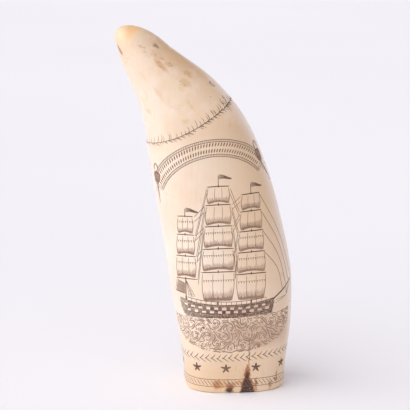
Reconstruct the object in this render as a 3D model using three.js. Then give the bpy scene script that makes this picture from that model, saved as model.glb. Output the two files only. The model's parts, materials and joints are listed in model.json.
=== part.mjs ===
// A scrimshaw whale tooth: one solid tooth that stands on its sawn root end, with the natural
// pulp cavity open below. Millimetres, +Z up. The broad engraved face looks along -Y and the
// tip leans towards -X.
import * as THREE from "three";

const HEIGHT = 155;
const TIP_ROUNDING = 8; // height over which the tip rounds over
const RIM_ROUNDING = 1.2; // radius of the worn outer edge of the root end
const MOUTH_ROUNDING = 0.8; // radius of the edge of the cavity's mouth
const CAVITY_DEPTH = 42;
const CAVITY_SHARE = 0.58; // width of the cavity's mouth, as a share of the root end's
const CAVITY_POINT = 1.5; // half-width of the cavity where it closes
const ROOT_POWER = 2.8; // 2 is an ellipse, more is flatter on its broad faces
const TIP_POWER = 2.1;
const FLANK_RINGS = 30;
const TIP_RINGS = 7;
const EDGE_RINGS = 3;
const CAVITY_RINGS = 8;
const SIDES = 72;

// The form at some heights above the root end: where the middle of the section has leaned to
// along X, and the section's half-sizes along X and Y before the tip is rounded over.
const STATIONS = [
  { height: 0, lean: 0, wide: 21.0, deep: 16.6 },
  { height: 12, lean: 0.1, wide: 22.1, deep: 17.1 },
  { height: 28, lean: -0.3, wide: 24.3, deep: 18.2 },
  { height: 50, lean: -2.0, wide: 26.1, deep: 19.0 },
  { height: 75, lean: -6.4, wide: 25.6, deep: 18.8 },
  { height: 98, lean: -11.8, wide: 24.2, deep: 17.6 },
  { height: 118, lean: -17.9, wide: 20.9, deep: 15.2 },
  { height: 134, lean: -27.8, wide: 17.0, deep: 12.4 },
  { height: 141, lean: -33.9, wide: 13.7, deep: 10.7 },
  { height: 146, lean: -38.0, wide: 10.8, deep: 9.2 },
  { height: HEIGHT, lean: -44.3, wide: 9.2, deep: 7.6 },
];

const formAtHeight = new THREE.CubicInterpolant(
  STATIONS.map((s) => s.height),
  STATIONS.flatMap((s) => [s.lean, s.wide, s.deep]),
  3,
);

function formAt(height) {
  const [lean, wide, deep] = formAtHeight.evaluate(THREE.MathUtils.clamp(height, 0, HEIGHT));
  return { lean, wide, deep };
}

// The share of the section's size that the round tip leaves at a height.
function tipShare(height) {
  const below = Math.min((HEIGHT - height) / TIP_ROUNDING, 1);
  return Math.sqrt(Math.max(below * (2 - below), 0));
}

// A quarter circle from straight down at its start to straight in at its end.
function* quarterTurn(steps) {
  for (let i = 0; i <= steps; i++) {
    const angle = (i / steps) * (Math.PI / 2);
    yield { sine: Math.sin(angle), cosine: Math.cos(angle) };
  }
}

// The half-profile: its X is the half-width along X and its Y the height. It runs from the top
// of the cavity down its wall, out over the rim and up the flank to the tip.
function profile() {
  const points = [new THREE.Vector2(0, CAVITY_DEPTH)];
  const mouth = CAVITY_SHARE * formAt(0).wide;
  for (let i = 0; i < CAVITY_RINGS; i++) {
    const share = i / CAVITY_RINGS;
    const height = CAVITY_DEPTH * (1 - share) ** 1.3;
    if (height > MOUTH_ROUNDING * 2) {
      const halfWidth = THREE.MathUtils.lerp(mouth, CAVITY_POINT, height / CAVITY_DEPTH);
      points.push(new THREE.Vector2(halfWidth, height));
    }
  }
  for (const { sine, cosine } of quarterTurn(EDGE_RINGS)) {
    const inward = MOUTH_ROUNDING * (1 - cosine);
    points.push(new THREE.Vector2(mouth + inward, MOUTH_ROUNDING * (1 - sine)));
  }
  for (const { sine, cosine } of quarterTurn(EDGE_RINGS)) {
    const height = RIM_ROUNDING * (1 - cosine);
    points.push(new THREE.Vector2(formAt(height).wide - RIM_ROUNDING * (1 - sine), height));
  }
  const flankTop = HEIGHT - TIP_ROUNDING;
  for (let i = 1; i <= FLANK_RINGS; i++) {
    const height = THREE.MathUtils.lerp(RIM_ROUNDING, flankTop, i / FLANK_RINGS);
    points.push(new THREE.Vector2(formAt(height).wide, height));
  }
  for (let i = 1; i < TIP_RINGS; i++) {
    const height = flankTop + TIP_ROUNDING * Math.sin((i / TIP_RINGS) * (Math.PI / 2));
    points.push(new THREE.Vector2(formAt(height).wide * tipShare(height), height));
  }
  points.push(new THREE.Vector2(0, HEIGHT));
  return points;
}

// How far the flattened section reaches in a direction, for a half-width of 1.
function sectionReach(angle, flatness, power) {
  const x = Math.abs(Math.cos(angle)) ** power;
  const y = Math.abs(Math.sin(angle) / flatness) ** power;
  return (x + y) ** (-1 / power);
}

// Turns the round lathed body into the tooth: +Y up becomes +Z up, each round section is
// flattened along Y, and it moves with the lean.
function toothGeometry() {
  const geometry = new THREE.LatheGeometry(profile(), SIDES);
  geometry.rotateX(Math.PI / 2);
  const place = geometry.getAttribute("position");
  for (let i = 0; i < place.count; i++) {
    const radius = Math.hypot(place.getX(i), place.getY(i));
    const angle = Math.atan2(place.getY(i), place.getX(i));
    const height = place.getZ(i);
    const { lean, wide, deep } = formAt(height);
    const power = THREE.MathUtils.lerp(ROOT_POWER, TIP_POWER, height / HEIGHT);
    const reach = radius * sectionReach(angle, deep / wide, power);
    place.setX(i, lean + reach * Math.cos(angle));
    place.setY(i, reach * Math.sin(angle));
  }
  return geometry;
}

// Moves the tooth so that the middle of its box's underside is the origin.
function standOnOrigin(geometry) {
  geometry.computeBoundingBox();
  const { min, max } = geometry.boundingBox;
  geometry.translate(-(min.x + max.x) / 2, -(min.y + max.y) / 2, -min.z);
}

const ivory = new THREE.MeshStandardMaterial({ color: 0xe6d5b8, roughness: 0.32, metalness: 0 });
const geometry = toothGeometry();
standOnOrigin(geometry);
const tooth = new THREE.Mesh(geometry, ivory);
tooth.name = "tooth";
const scrimshawTooth = new THREE.Group();
scrimshawTooth.add(tooth);

export default scrimshawTooth;
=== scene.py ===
"""A scrimshaw whale tooth: its polished, engraved and inked surface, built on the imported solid.

Lengths are millimetres, also those on the unrolled map. Blender's meshes, places and noise scales
are in metres.
"""
import json
import math
import random

import bpy
import numpy as np
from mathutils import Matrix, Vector
from mathutils.geometry import delaunay_2d_cdt

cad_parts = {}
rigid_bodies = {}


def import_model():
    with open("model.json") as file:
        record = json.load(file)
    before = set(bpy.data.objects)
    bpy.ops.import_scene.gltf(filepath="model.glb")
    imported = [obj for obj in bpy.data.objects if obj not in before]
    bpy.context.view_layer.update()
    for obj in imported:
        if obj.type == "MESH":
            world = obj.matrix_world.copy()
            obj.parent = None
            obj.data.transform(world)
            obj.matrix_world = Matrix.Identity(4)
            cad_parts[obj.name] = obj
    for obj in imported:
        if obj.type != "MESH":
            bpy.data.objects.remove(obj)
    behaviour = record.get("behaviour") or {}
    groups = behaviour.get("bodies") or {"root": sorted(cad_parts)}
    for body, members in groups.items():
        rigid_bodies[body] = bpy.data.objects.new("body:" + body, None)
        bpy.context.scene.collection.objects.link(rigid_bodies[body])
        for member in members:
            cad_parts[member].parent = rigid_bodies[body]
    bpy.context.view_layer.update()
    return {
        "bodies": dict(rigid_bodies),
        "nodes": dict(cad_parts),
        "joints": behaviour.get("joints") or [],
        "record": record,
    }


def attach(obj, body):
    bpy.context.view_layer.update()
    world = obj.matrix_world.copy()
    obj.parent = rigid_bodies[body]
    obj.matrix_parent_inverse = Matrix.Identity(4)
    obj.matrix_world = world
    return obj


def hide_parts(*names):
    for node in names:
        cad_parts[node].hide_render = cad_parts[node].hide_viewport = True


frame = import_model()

MM = 0.001

# ---------------- the tooth's form

SIDES = 72  # corners of each level ring of the CAD tooth
CAVITY_SHARE = 0.6  # a low ring narrower than this share of the widest is one of the pulp cavity's
FINE_ANGLES = 1440  # even angles at which each ring is filled in
ROW_STEP = 0.4  # between the rows of a wall's table of places
COLUMNS = 720  # of that table


def smooth(knots, values, at):
    """The values at some places between the knots, on a smooth curve through them."""
    slopes = np.gradient(values, knots, axis=0)
    low = np.clip(np.searchsorted(knots, at) - 1, 0, len(knots) - 2)
    span = knots[low + 1] - knots[low]
    share = (at - knots[low]) / span
    if values.ndim > 1:
        span, share = span[:, None], share[:, None]
    square, cube = share**2, share**3
    return (
        (2 * cube - 3 * square + 1) * values[low]
        + (cube - 2 * square + share) * span * slopes[low]
        + (3 * square - 2 * cube) * values[low + 1]
        + (cube - square) * span * slopes[low + 1]
    )


def lengths_along(points):
    """How far along a line each of its points lies."""
    return np.concatenate([[0], np.cumsum(np.hypot(*np.diff(points, axis=0).T))])


class Form:
    """A wall of the CAD tooth as one smooth surface.

    A place on it is a share of the way round, from -0.5 at the back through 0 at the front to
    0.5, and a length along the profile, which starts at the root end.
    """

    def __init__(self, node, cavity=False):
        places = np.array([v.co for v in node.data.vertices]) / MM
        levels = np.round(places[:, 2], 2)
        widest = np.ptp(places[:, 0][levels < levels.max() / 2])
        widths = {level: np.ptp(places[levels == level, 0]) for level in np.unique(levels)}
        narrow = [level for level, width in widths.items() if width < CAVITY_SHARE * widest]
        cavity_top = max(level for level in narrow if level < levels.max() / 2)
        rings = []
        for level, width in widths.items():
            inner = level <= cavity_top and level in narrow
            if level == 0 or inner == cavity:
                rings.append(self.ring(places[levels == level], level, cavity))
        heights, middles, reaches = (np.array(column) for column in zip(*rings))
        if not cavity:
            # The surface runs on over the tip, so that the tip is round.
            heights = np.append(heights, heights[-2])
            middles = np.append(middles, middles[-2])
            reaches = np.vstack([reaches, -np.roll(reaches[-2], SIDES // 2)])
        lengths = lengths_along(np.column_stack([heights, reaches.mean(axis=1)]))
        self.length = lengths[-1] if cavity else lengths[-2]
        rows = int(self.length / ROW_STEP)
        self.rows = np.linspace(0, self.length, rows + 1)
        self.heights = smooth(lengths, heights, self.rows)
        self.build_table(smooth(lengths, middles, self.rows), smooth(lengths, reaches, self.rows))

    @staticmethod
    def ring(places, level, cavity):
        """A level ring's height, middle and reach at each even angle, from the front round by +X."""
        middle = (places[:, 0].min() + places[:, 0].max()) / 2
        across, ahead = places[:, 0] - middle, -places[:, 1]
        radii = np.hypot(across, ahead)
        slots = np.rint(np.arctan2(across, ahead) / (2 * math.pi / SIDES)).astype(int) % SIDES
        # The flat root end has two corners at each angle, the cavity's and the outside's.
        inner = cavity and level == 0
        reach = np.full(SIDES, np.inf if inner else 0.0)
        (np.minimum if inner else np.maximum).at(reach, slots, radii)
        return level, middle, reach

    def build_table(self, middles, reaches):
        """Places and outward normals on an even grid of profile lengths and shares round."""
        waves = np.fft.rfft(reaches, axis=1)
        padded = np.zeros((len(waves), FINE_ANGLES // 2 + 1), complex)
        padded[:, : waves.shape[1]] = waves
        fine = np.fft.irfft(padded, FINE_ANGLES, axis=1) * FINE_ANGLES / SIDES
        angles = np.arange(FINE_ANGLES + 1) * 2 * math.pi / FINE_ANGLES - math.pi
        fine = np.roll(fine, FINE_ANGLES // 2, axis=1)
        fine = np.concatenate([fine, fine[:, :1]], axis=1)
        x = middles[:, None] + fine * np.sin(angles)
        y = -fine * np.cos(angles)
        arcs = np.hypot(np.diff(x, axis=1), np.diff(y, axis=1))
        arcs = np.concatenate([np.zeros((len(x), 1)), np.cumsum(arcs, axis=1)], axis=1)
        self.perimeters = arcs[:, -1]
        self.shares = np.linspace(-0.5, 0.5, COLUMNS + 1)
        self.places = np.empty((len(x), COLUMNS + 1, 3))
        for row, arc in enumerate(arcs):
            wanted = (self.shares + 0.5) * arc[-1]
            self.places[row, :, 0] = np.interp(wanted, arc, x[row])
            self.places[row, :, 1] = np.interp(wanted, arc, y[row])
            self.places[row, :, 2] = self.heights[row]
        ringed = np.concatenate([self.places[:, -3:-1], self.places, self.places[:, 1:3]], axis=1)
        round_about = np.gradient(ringed, axis=1)[:, 2:-2]
        upward = np.gradient(self.places, axis=0)
        normals = np.cross(round_about, upward)
        self.normals = normals / np.maximum(np.linalg.norm(normals, axis=2, keepdims=True), 1e-9)

    def at(self, shares, lengths):
        """Places and normals at some shares and profile lengths."""
        column = np.clip((np.asarray(shares) + 0.5) * COLUMNS, 0, COLUMNS - 1e-6)
        row = np.clip(np.asarray(lengths) / self.length * (len(self.rows) - 1), 0, len(self.rows) - 1.001)
        c, r = column.astype(int), row.astype(int)
        fc, fr = (column - c)[:, None], (row - r)[:, None]
        found = []
        for table in (self.places, self.normals):
            low = table[r, c] * (1 - fc) + table[r, c + 1] * fc
            high = table[r + 1, c] * (1 - fc) + table[r + 1, c + 1] * fc
            found.append(low * (1 - fr) + high * fr)
        places, normals = found
        return places, normals / np.linalg.norm(normals, axis=1, keepdims=True)

    def length_at(self, height):
        return np.interp(height, self.heights, self.rows)

    def perimeter_at(self, height):
        return np.interp(height, self.heights, self.perimeters)

    def arcs_at(self, across, heights):
        """How far round the front, from its middle, an upright plane at some X meets some heights."""
        front = slice(COLUMNS // 4, COLUMNS - COLUMNS // 4)
        arcs = []
        for row in np.clip(np.searchsorted(self.heights, heights), 0, len(self.rows) - 1):
            share = np.interp(across, self.places[row, front, 0], self.shares[front])
            arcs.append(share * self.perimeters[row])
        return np.array(arcs)


outside = Form(frame["nodes"]["tooth"])
hollow = Form(frame["nodes"]["tooth"], cavity=True)

# ---------------- cuts in the surface

GIRTH = 148.0  # width of the flat map on which the cuts are laid out
EDGE_LENGTH = outside.length_at(1.2)  # the flat map starts above the root end's rounded edge
TOP_LENGTH = outside.length_at(149.5)  # and stops below the round tip
GRID_COLUMNS, GRID_ROWS = 84, 78
WELD = 2e-3  # corners of the flat map closer than this become one
SEAM_GAP = 0.25  # cuts keep this far from the map's edges
SHORTEST = 0.12  # a shorter line isn't cut
TAPER_SHARE = 0.42  # the most of a cut's length that either pointed end takes
STOP_GAP = 0.08  # a cut's bends keep this far from its pointed ends
NEARBY = 0.05  # how far to both sides a line's direction is taken
DEPTH_SHARE = 0.4  # a cut's depth as a share of its width
# The triangles between two bends, each of which has a left corner, a deep one and a right one.
BETWEEN_BENDS = ((0, 1, 4), (0, 4, 3), (1, 2, 5), (1, 5, 4))
CELL = 0.6  # side of the cells by which faces are found
CELL_SPAN = 10000  # more cells than the map is wide or tall
TOUCH = 1e-3  # a face's middle this far outside a cut still counts as in it


def around(height):
    """Places whose first number is an arc round the tooth, from the front, at one height."""
    girth = outside.perimeter_at(height)

    def to_map(points):
        return np.column_stack([points[:, 0] / girth * GIRTH, outside.length_at(points[:, 1])])

    return to_map


def upright(plane):
    """Places whose first number is an arc from where an upright plane at some X meets the front."""
    heights = np.linspace(0, 150, 151)
    arcs = outside.arcs_at(plane, heights)

    def to_map(points):
        start = np.interp(points[:, 1], heights, arcs)
        share = (start + points[:, 0]) / outside.perimeter_at(points[:, 1])
        return np.column_stack([share * GIRTH, outside.length_at(points[:, 1])])

    return to_map


class Cuts:
    """V-shaped cuts on the flat map: triangles whose corners have a depth, and their ink."""

    def __init__(self):
        self.points, self.depths, self.triangles, self.inks = [], [], [], []

    def stroke(self, to_map, line, width, ink, taper=(1.0, 1.0), depth=None):
        """Cuts along a line of (arc, height) points, pointed at both ends. ink runs from 0 to 1."""
        line = np.asarray(line, float)
        along = lengths_along(line)
        length = along[-1]
        if length < SHORTEST:
            return

        def on_line(stops):
            return np.column_stack([np.interp(stops, along, line[:, k]) for k in (0, 1)])

        first, last = (min(point, TAPER_SHARE * length) for point in taper)
        inner = along[(along > first + STOP_GAP) & (along < length - last - STOP_GAP)]
        stops = np.concatenate([[first], inner, [length - last]])
        middles = on_line(stops)
        ahead = on_line(stops + NEARBY) - on_line(stops - NEARBY)
        ahead /= np.maximum(np.hypot(ahead[:, 0], ahead[:, 1]), 1e-9)[:, None]
        side = np.column_stack([-ahead[:, 1], ahead[:, 0]]) * width / 2
        cross = np.stack([middles + side, middles, middles - side], axis=1).reshape(-1, 2)
        corners = to_map(np.vstack([line[:1], cross, line[-1:]]))
        if np.abs(corners[:, 0]).max() > GIRTH / 2 - SEAM_GAP:
            return
        if corners[:, 1].min() < EDGE_LENGTH + SEAM_GAP or corners[:, 1].max() > TOP_LENGTH - SEAM_GAP:
            return
        first = len(self.points)
        deep = width * DEPTH_SHARE if depth is None else depth
        self.points.extend(corners)
        self.depths.extend([0] + [0, deep, 0] * len(stops) + [0])
        last = first + len(corners) - 1
        found = [(first, first + 2, first + 1), (first, first + 3, first + 2)]
        for k in range(first + 1, last - 3, 3):
            found += [(k + a, k + b, k + c) for a, b, c in BETWEEN_BENDS]
        found += [(last - 3, last - 2, last), (last - 2, last - 1, last)]
        self.triangles.extend(found)
        self.inks.extend([ink] * len(found))


def turned_area(one, other):
    return one[:, 0] * other[:, 1] - other[:, 0] * one[:, 1]


def weights(place, a, b, c):
    """The three corner weights of places in triangles."""
    area = turned_area(b - a, c - a)
    area = np.where(np.abs(area) < 1e-12, 1e-12, area)
    second = turned_area(place - a, c - a) / area
    third = turned_area(b - a, place - a) / area
    return np.stack([1 - second - third, second, third])


def runs(starts, ends):
    """For ranges of whole numbers: the index of each range and each number in it."""
    counts = np.maximum(ends - starts, 0)
    owners = np.repeat(np.arange(len(starts)), counts)
    firsts = np.repeat(np.cumsum(counts) - counts, counts)
    return owners, np.arange(counts.sum()) - firsts + starts[owners]


def faces_in_cuts(middles, triangles):
    """Pairs of a face and a cut's triangle in which the face's middle lies."""
    cells = np.floor(middles / CELL).astype(int) + CELL_SPAN // 2
    keys = cells[:, 1] * CELL_SPAN + cells[:, 0]
    order = np.argsort(keys)
    low = np.floor(triangles.min(axis=1) / CELL).astype(int) + CELL_SPAN // 2
    high = np.floor(triangles.max(axis=1) / CELL).astype(int) + CELL_SPAN // 2
    cut_of_row, row = runs(low[:, 1], high[:, 1] + 1)
    start = np.searchsorted(keys[order], row * CELL_SPAN + low[cut_of_row, 0])
    end = np.searchsorted(keys[order], row * CELL_SPAN + high[cut_of_row, 0] + 1)
    row_of, place = runs(start, end)
    cut, face = cut_of_row[row_of], order[place]
    within = weights(middles[face], *triangles[cut].transpose(1, 0, 2)).min(axis=0) > -TOUCH
    return face[within], cut[within]


def solve_map(cuts):
    """The flat map cut into triangles: corners, their depths, triangles and the ink of each."""
    across = np.linspace(-GIRTH / 2, GIRTH / 2, GRID_COLUMNS + 1)
    up = np.linspace(EDGE_LENGTH, TOP_LENGTH, GRID_ROWS + 1)
    grid = np.stack(np.meshgrid(across, up), axis=-1).reshape(-1, 2)
    points, wanted = np.array(cuts.points), np.array(cuts.triangles)
    bounds = [Vector(p) for p in np.vstack([grid, points])]
    edges = np.sort(wanted[:, [0, 1, 1, 2, 2, 0]].reshape(-1, 2), axis=1) + len(grid)
    made = delaunay_2d_cdt(bounds, np.unique(edges, axis=0).tolist(), [], 0, WELD, False)
    corners, faces = np.array([tuple(v) for v in made[0]]), np.array(made[2])
    face, cut = faces_in_cuts(corners[faces].mean(axis=1), points[wanted])
    depths = np.array(cuts.depths)[wanted[cut]].T
    triangles = points[wanted[cut]].transpose(1, 0, 2)
    middle = (weights(corners[faces[face]].mean(axis=1), *triangles) * depths).sum(axis=0)
    order = np.argsort(middle, kind="stable")
    ink, depth = np.zeros(len(faces)), np.zeros(len(corners))
    ink[face[order]] = np.array(cuts.inks)[cut[order]]
    for k in range(3):
        here = (weights(corners[faces[face, k]], *triangles) * depths).sum(axis=0)
        np.maximum.at(depth, faces[face, k], here)
    return corners, depth, faces, ink


# ---------------- the tooth's mesh

RIM_ROWS, TIP_ROWS, FLAT_ROWS, HOLLOW_ROWS = 5, 22, 3, 26
# What a face's corner carries: its normal, its place on the bake map, and its arc and height,
# which are its place on the unrolled map, in millimetres.
CARRIED = 7
NORMAL, BAKE, UNROLLED = slice(0, 3), slice(3, 5), slice(5, 7)
UP, DOWN = np.array([0.0, 0.0, 1.0]), np.array([0.0, 0.0, -1.0])
ROW_SHARES = np.linspace(-0.5, 0.5, GRID_COLUMNS + 1)
# Places on the bake map: its margin, the outside's stretch, and what the root end and hollow take.
BAKE_EDGE, BAKE_TOP, BAKE_FOOT, BAKE_GAP = 0.005, 0.945, 0.24, 0.01
BAKE_FLAT, BAKE_HOLLOW = 0.06, 0.15
FLAT_DROP = 6  # how far the unrolled height runs down across the flat root end
# The ink's patches lie in one row on the bake map, and each face's place in one is a small triangle.
INK_TONES, INK_LEVEL = 12, 0.975
INK_PATCH = np.array([[-0.012, -0.012], [0.012, -0.012], [0.0, 0.014]])
SMALL_FACE = 1e-7  # an inked face smaller than this keeps the tooth's own normals
ON_EDGE = 1e-4  # a corner this near an edge of the flat map lies on it


class Surface:
    """The growing mesh: corners, faces, what each face's corners carry, and each face's ink."""

    def __init__(self):
        self.corners = np.empty((0, 3))
        self.faces, self.carried, self.inks = [], [], []

    def add_corners(self, corners):
        first = len(self.corners)
        self.corners = np.vstack([self.corners, corners])
        return first + np.arange(len(corners))

    def add_faces(self, faces, carried, inks=None):
        self.faces.append(faces)
        self.carried.append(carried)
        self.inks.append(np.zeros(len(faces)) if inks is None else inks)


def bake_across(shares):
    return BAKE_EDGE + (1 - 2 * BAKE_EDGE) * (shares + 0.5)


def outside_carried(normals, shares, lengths):
    """What corners of the outside carry."""
    bake_up = BAKE_FOOT + (BAKE_TOP - BAKE_FOOT) * lengths / outside.length
    heights = np.interp(lengths, outside.rows, outside.heights)
    arcs = shares * outside.perimeter_at(heights)
    return np.column_stack([normals, bake_across(shares), bake_up, arcs, heights])


def ink_bakes(inks):
    """Each inked face's three places in the patch of the bake map that holds its tone."""
    middle = (np.rint(inks * (INK_TONES - 1)) + 0.5) / INK_TONES
    places = np.column_stack([middle, np.full(len(middle), INK_LEVEL)])
    return places[:, None] + INK_PATCH


def add_engraved(surface, cuts):
    """The flank with its cuts. Gives the corners of its lowest and highest rows."""
    corners, depth, faces, ink = solve_map(cuts)
    shares, lengths = corners[:, 0] / GIRTH, corners[:, 1]
    places, normals = outside.at(shares, lengths)
    indices = surface.add_corners(places - normals * depth[:, None])
    # The map's right edge is its left edge.
    left = np.flatnonzero(corners[:, 0] < -GIRTH / 2 + ON_EDGE)
    for k in np.flatnonzero(corners[:, 0] > GIRTH / 2 - ON_EDGE):
        indices[k] = indices[left[np.argmin(np.abs(corners[left, 1] - corners[k, 1]))]]
    carried = outside_carried(normals, shares, lengths)[faces]
    flat = surface.corners[indices[faces]]
    cross = np.cross(flat[:, 1] - flat[:, 0], flat[:, 2] - flat[:, 0])
    size = np.linalg.norm(cross, axis=1)
    inked = ink > 0
    creased = inked & (size > SMALL_FACE)
    carried[creased, :, NORMAL] = (cross[creased] / size[creased, None])[:, None]
    carried[inked, :, BAKE] = ink_bakes(ink[inked])
    surface.add_faces(indices[faces], carried, ink)
    rows = []
    for edge in (EDGE_LENGTH, TOP_LENGTH):
        on_edge = np.flatnonzero(np.abs(lengths - edge) < ON_EDGE)
        on_edge = on_edge[np.argsort(corners[on_edge, 0])]
        rows.append(indices[on_edge][:-1])
    return rows


def add_rows(surface, upper, rows, flipped=False):
    """Strips of quads, cut into triangles, from a row of corners through further rows.

    Each row is its places and what they carry, with the seam's place at both ends, and the first
    row has the corners of upper. flipped turns the faces round.
    """
    turn = slice(None, None, -1 if flipped else 1)
    above, over = upper, rows[0][1]
    for places, under in rows[1:]:
        below = surface.add_corners(places[:-1])
        after, next_above = np.roll(below, -1), np.roll(above, -1)
        first = np.column_stack([below, after, next_above])
        second = np.column_stack([below, next_above, above])
        one = np.stack([under[:-1], under[1:], over[1:]], axis=1)
        two = np.stack([under[:-1], over[1:], over[:-1]], axis=1)
        faces, carried = np.concatenate([first, second]), np.concatenate([one, two])
        surface.add_faces(faces[:, turn], carried[:, turn])
        above, over = below, under
    return above


def close_row(surface, edge, indices, place, normal, bake_up, flipped):
    """A fan of triangles from a row of corners, and what they carry, to one point."""
    tip = surface.add_corners(np.array([place]))[0]
    ends = (edge[:-1] + edge[1:]) / 2
    ends[:, NORMAL] = normal
    ends[:, BAKE.start + 1] = bake_up
    faces = np.column_stack([indices, np.roll(indices, -1), np.full(GRID_COLUMNS, tip)])
    carried = np.stack([edge[:-1], edge[1:], ends], axis=1)
    order = [1, 0, 2] if flipped else [0, 1, 2]
    surface.add_faces(faces[:, order], carried[:, order])


def outside_row(length):
    lengths = np.full(GRID_COLUMNS + 1, length)
    places, normals = outside.at(ROW_SHARES, lengths)
    return places, outside_carried(normals, ROW_SHARES, lengths)


def underside_row(share_in, length):
    """A row of the flat root end, share_in of the way in to the hollow, or of the hollow's wall."""
    zeros = np.zeros(GRID_COLUMNS + 1)
    places, normals = hollow.at(ROW_SHARES, zeros + length)
    normals = -normals
    if share_in < 1:
        outer, _ = outside.at(ROW_SHARES, zeros)
        places = outer * (1 - share_in) + places * share_in
        normals[:] = DOWN
    bake_up = BAKE_FOOT - BAKE_GAP - (BAKE_FLAT * share_in + BAKE_HOLLOW * length / hollow.length)
    arcs, drop = ROW_SHARES * outside.perimeters[0], -FLAT_DROP * share_in - length
    carried = [normals, bake_across(ROW_SHARES), zeros + bake_up, arcs, zeros + drop]
    return places, np.column_stack(carried)


def tooth_mesh(cuts):
    """The whole tooth as one closed mesh with its own normals."""
    surface = Surface()
    foot, top = add_engraved(surface, cuts)
    rows = [outside_row(q) for q in np.linspace(TOP_LENGTH, outside.length, TIP_ROWS + 1)[:-1]]
    last = add_rows(surface, top, rows, flipped=True)
    close_row(surface, rows[-1][1], last, outside.places[-1, 0], UP, BAKE_TOP, False)
    rows = [outside_row(q) for q in np.linspace(EDGE_LENGTH, 0, RIM_ROWS + 1)]
    rows += [underside_row(k / FLAT_ROWS, 0) for k in range(1, FLAT_ROWS + 1)]
    rows += [underside_row(1, q) for q in np.linspace(0, hollow.length, HOLLOW_ROWS + 1)[1:]]
    last = add_rows(surface, foot, rows)
    close_row(surface, rows[-1][1], last, hollow.places[-1].mean(axis=0), DOWN, BAKE_EDGE, True)
    return surface


def add_object(name, data):
    thing = bpy.data.objects.new(name, data)
    bpy.context.scene.collection.objects.link(thing)
    return thing


def mesh_object(name, surface):
    """The mesh as an object, without the faces that have lost a corner to the weld."""
    faces = np.concatenate(surface.faces)
    keep = (faces != np.roll(faces, 1, axis=1)).all(axis=1)
    used, corner_of = np.unique(faces[keep], return_inverse=True)
    mesh = bpy.data.meshes.new(name)
    mesh.from_pydata((surface.corners[used] * MM).tolist(), [], corner_of.reshape(-1, 3).tolist())
    carried = np.concatenate(surface.carried)[keep].reshape(-1, CARRIED)
    for layer, columns in (("OFBake", BAKE), ("Unrolled", UNROLLED)):
        values = carried[:, columns].astype(np.float32)
        mesh.uv_layers.new(name=layer).data.foreach_set("uv", values.reshape(-1))
    inks = np.concatenate(surface.inks)[keep]
    tones = mesh.attributes.new("ink", "FLOAT", "FACE")
    tones.data.foreach_set("value", np.rint(inks * (INK_TONES - 1)) / (INK_TONES - 1))
    mesh.polygons.foreach_set("material_index", (inks > 0).astype(np.int32))
    mesh.polygons.foreach_set("use_smooth", np.ones(len(mesh.polygons), bool))
    mesh.normals_split_custom_set(carried[:, NORMAL])
    return add_object(name, mesh)


# ---------------- drawing

# From here on u or s is an arc round the tooth, z a height, and a share runs from 0 to 1 or, round
# the tooth, from -0.5 to 0.5.
CURVE_STEP, STRAIGHT_STEP = 0.9, 4.0  # between the bends of a curved cut and of a straight one

chance = random.Random(11)
cuts = Cuts()
picture = upright(0.5)


def wobble(amount):
    return chance.uniform(-amount, amount)


def curve(points, step):
    """A smooth line through points, in even steps."""
    points = np.array(points, float)
    along = lengths_along(points)
    at = np.linspace(0, along[-1], max(2, math.ceil(along[-1] / step) + 1))
    return smooth(along, points, at)


def cut(points, width=0.24, ink=0.7, frame=picture, step=None, **more):
    """A cut along a smooth line through some points."""
    step = step or (STRAIGHT_STEP if len(points) == 2 else CURVE_STEP)
    cuts.stroke(frame, curve(points, step), width, ink, **more)


def beside(share, height):
    """Places given as offsets, in millimetres, from one place on the tooth."""
    girth, length = outside.perimeter_at(height), outside.length_at(height)
    share = (share + 0.5) % 1 - 0.5

    def to_map(points):
        return np.column_stack([(share + points[:, 0] / girth) * GIRTH, length + points[:, 1]])

    return to_map


# ---------------- the borders

# Each ring: its middle height and how far it is tilted up and down from that.
CHEVRON_RING, CHEVRONS = (17.6, 1.9), 54
STAR_RING, STAR_RADIUS, STAR_ARMS = (11.85, 0.75), 2.4, 5
STARS, STAR_START, STAR_PITCH = 10, -56.2, 12.73
BAND_TOP, BAND_FOOT, BAND_TICKS, BAND_LINES = (6.5, 0.35), (3.3, 0.3), 76, 14
RING_TURN = 0.55  # how far round to the left of the front, in radians, the rings are lowest
RING_END = 0.4975  # a ring's line stops at this share, just short of the seam at the back
RING_OVERLAP, RING_STOPS = 0.002, 7  # of the strokes that make up a ring's line
# The feather border's height, how far it rises to the right and dips at the front, and its strokes.
FEATHER_HEIGHT, FEATHER_RISE, FEATHER_DIP, FEATHER_LINES = 115.8, 9.2, 1.2, 16
BARB_LEVEL, BARB_PITCH = 115.0, 1.85  # the height at which the barbs are spaced, and their pitch
SPINE_REACH = 0.002  # share round to each side at which the spine's slope is taken
# Each barb: its length, and the angles in degrees at which it leaves the spine and ends.
BARBS = ((3.1, 52, 84), (2.5, -24, -46), (2.2, -30, -56))


def ring_line(heights, pieces, width, ink):
    """A line round the tooth in several strokes. heights and ink give both at a share round."""
    edges = np.linspace(-RING_END, RING_END, pieces + 1)
    for start, end in zip(edges, edges[1:]):
        shares = np.linspace(start, min(end + RING_OVERLAP, RING_END), RING_STOPS)
        levels = heights(shares)
        arcs = shares * outside.perimeter_at(levels)
        places = outside.length_at(levels) + wobble(0.04)

        def to_map(points):
            return np.column_stack([points[:, 0] / arcs[-1] * shares[-1] * GIRTH, points[:, 1]])

        line = np.column_stack([arcs, places])
        cuts.stroke(to_map, line, width, ink((start + end) / 2), (0.4, 0.4))


def ring_height(ring, shares):
    middle, tilt = ring
    return middle - tilt * np.cos(2 * math.pi * np.asarray(shares) + RING_TURN)


def feather_height(shares):
    """The feather border's height, about level with the tooth's leaning axis."""
    turns = 2 * math.pi * np.asarray(shares)
    return FEATHER_HEIGHT + FEATHER_RISE * np.sin(turns) - FEATHER_DIP * np.cos(turns)


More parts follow.
